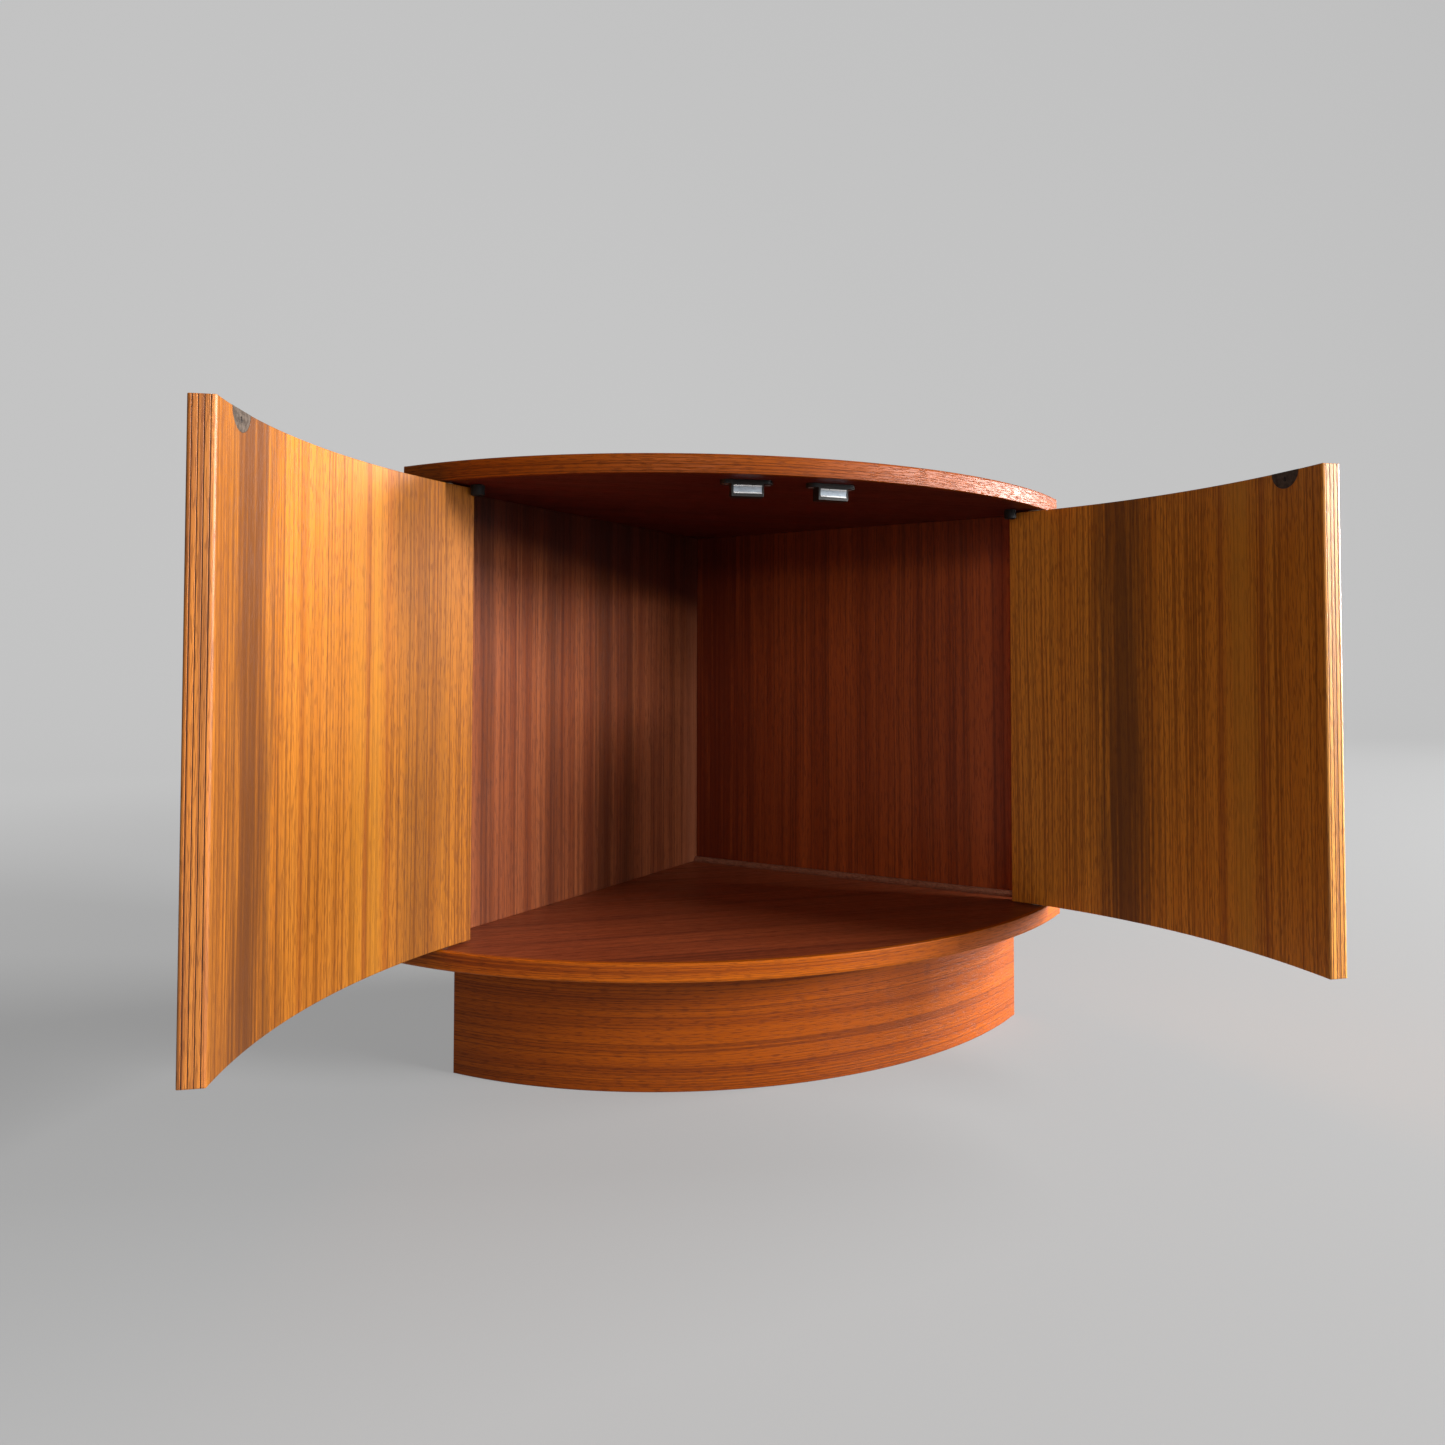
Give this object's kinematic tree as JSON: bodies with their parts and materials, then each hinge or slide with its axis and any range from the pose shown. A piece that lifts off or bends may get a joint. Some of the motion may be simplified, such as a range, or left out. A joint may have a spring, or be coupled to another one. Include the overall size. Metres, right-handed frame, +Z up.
{
  "type": "tv stand with doors",
  "caption": "Bow-fronted corner cabinet for a television: curved laminated doors on pivots, open inside, on a recessed curved plinth.",
  "frame": {"origin": "on the floor at the middle of the underside of the plinth front", "axes": "+X to the right, +Y from the bowed front to the rear corner, +Z up"},
  "size_m": [0.8926, 0.6847, 0.585],
  "materials": {
    "board_veneer": "satin red-brown veneer",
    "teak_edge": "oiled teak lipping, grain along the edge",
    "wall_veneer": "satin ribbon-striped veneer",
    "pale_wood": "raw beech",
    "bright_steel": "zinc-plated steel",
    "bead_wood": "satin hardwood",
    "teak_plinth": "oiled teak, horizontal grain",
    "dark_steel": "browned steel",
    "nylon": "natural nylon",
    "rubber_stop": "black rubber",
    "catch_plastic": "dark moulded plastic",
    "magnet": "sintered magnet",
    "pole_steel": "plain rolled steel",
    "teak_door": "oiled teak laminations, vertical grain",
    "glue_line": "dark glue line",
    "teak_pull": "oiled teak"
  },
  "bodies": {
    "cabinet": {"top_panel": "board_veneer", "top_front_lipping": "teak_edge", "bottom_panel": "board_veneer", "bottom_front_lipping": "teak_edge", "left_wall": "wall_veneer", "right_wall": "wall_veneer", "wall_dowels": "pale_wood", "wall_corner_screws": "bright_steel", "floor_bead": "bead_wood", "plinth_front": "teak_plinth", "plinth_left_side": "teak_plinth", "plinth_right_side": "teak_plinth", "plinth_blocks": "pale_wood", "plinth_block_screws": "bright_steel", "hinge_plates": "dark_steel", "hinge_pins": "bright_steel", "hinge_washers": "nylon", "hinge_plate_screws": "bright_steel", "door_stops": "rubber_stop", "door_stop_screws": "bright_steel", "catch_housings": "catch_plastic", "catch_magnets": "magnet", "catch_pole_plates": "pole_steel", "catch_screws": "bright_steel"},
    "left_door": {"left_door_plies": "teak_door", "left_door_glue_lines": "glue_line", "left_door_pivot_plates": "dark_steel", "left_door_plate_screws": "bright_steel", "left_door_strike_plate": "dark_steel", "left_door_strike_screw": "dark_steel", "left_door_pull": "teak_pull", "left_door_pull_pegs": "pale_wood"},
    "right_door": {"right_door_plies": "teak_door", "right_door_glue_lines": "glue_line", "right_door_pivot_plates": "dark_steel", "right_door_plate_screws": "bright_steel", "right_door_strike_plate": "dark_steel", "right_door_strike_screw": "dark_steel", "right_door_pull": "teak_pull", "right_door_pull_pegs": "pale_wood"}
  },
  "joints": [
    {"name": "left_door_hinge", "type": "hinge", "parent": "cabinet", "child": "left_door", "pos_m": [-0.31185, 0.07293, 0.349], "axis": [0, 0, -1], "range_deg": [-94.7, 0.8]},
    {"name": "right_door_hinge", "type": "hinge", "parent": "cabinet", "child": "right_door", "pos_m": [0.31185, 0.07293, 0.349], "axis": [0, 0, 1], "range_deg": [-88.1, 7.4]}
  ]
}
